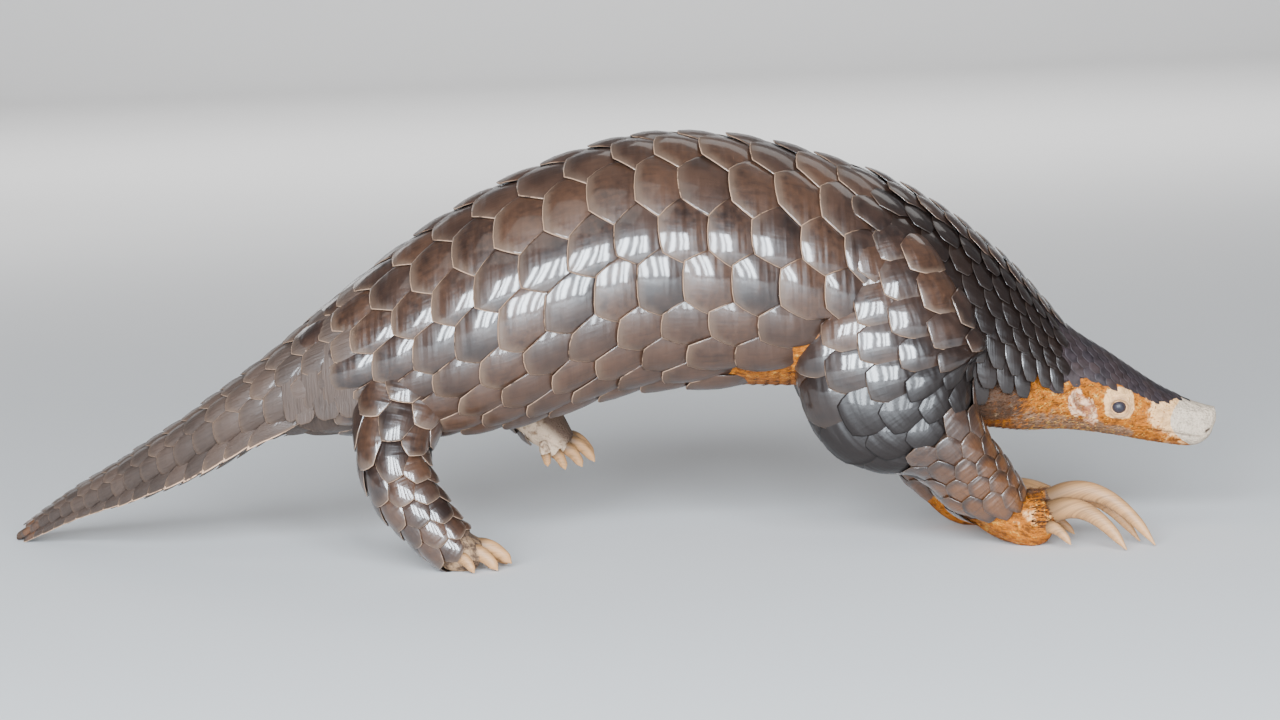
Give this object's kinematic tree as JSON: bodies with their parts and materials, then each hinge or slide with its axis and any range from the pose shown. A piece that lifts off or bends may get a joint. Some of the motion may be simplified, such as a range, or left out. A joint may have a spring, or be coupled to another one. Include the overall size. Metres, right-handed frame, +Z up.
{
  "type": "pangolin",
  "caption": "Walking pangolin with an arched back of large overlapping scales, a low pointed head, long digging claws and a thick tapering tail swung to one side.",
  "frame": {"origin": "on the floor, under the middle of the object's box", "axes": "+X to the head, +Y to the animal's left, +Z up"},
  "size_m": [0.7672, 0.2182, 0.2579],
  "materials": {
    "back_scale": "horn scale, satin to glossy, dark brown with tan rims",
    "tail_scale": "horn scale, dusty, grey brown with pale rims",
    "leg_scale": "horn scale, glossy, dark brown",
    "head_skin": "bare rough skin with sparse hair, ochre",
    "foot_skin": "bare rough skin with sparse hair, brown to ochre",
    "ear_skin": "bare soft skin, pinkish",
    "nose_skin": "bare damp skin, pale grey",
    "claw": "horn, cream to yellowish grey",
    "eye": "wet, almost black"
  },
  "bodies": {
    "root": {"tail_base": "tail_scale", "tail_end": "tail_scale", "torso_rear": "back_scale", "torso_front": "back_scale", "neck": "back_scale", "nose": "nose_skin", "head": "head_skin", "eye_right": "eye", "ear_right": "ear_skin", "eye_left": "eye", "ear_left": "ear_skin", "front_leg_right": "leg_scale", "front_foot_right": "foot_skin", "front_claw_right_1": "claw", "front_claw_right_2": "claw", "front_claw_right_3": "claw", "front_claw_right_4": "claw", "front_claw_right_5": "claw", "front_leg_left": "leg_scale", "front_foot_left": "foot_skin", "front_claw_left_1": "claw", "front_claw_left_2": "claw", "front_claw_left_3": "claw", "front_claw_left_4": "claw", "front_claw_left_5": "claw", "hind_leg_right": "leg_scale", "hind_foot_right": "foot_skin", "hind_claw_right_1": "claw", "hind_claw_right_2": "claw", "hind_claw_right_3": "claw", "hind_claw_right_4": "claw", "hind_claw_right_5": "claw", "hind_leg_left": "leg_scale", "hind_foot_left": "foot_skin", "hind_claw_left_1": "claw", "hind_claw_left_2": "claw", "hind_claw_left_3": "claw", "hind_claw_left_4": "claw", "hind_claw_left_5": "claw"}
  },
  "joints": []
}
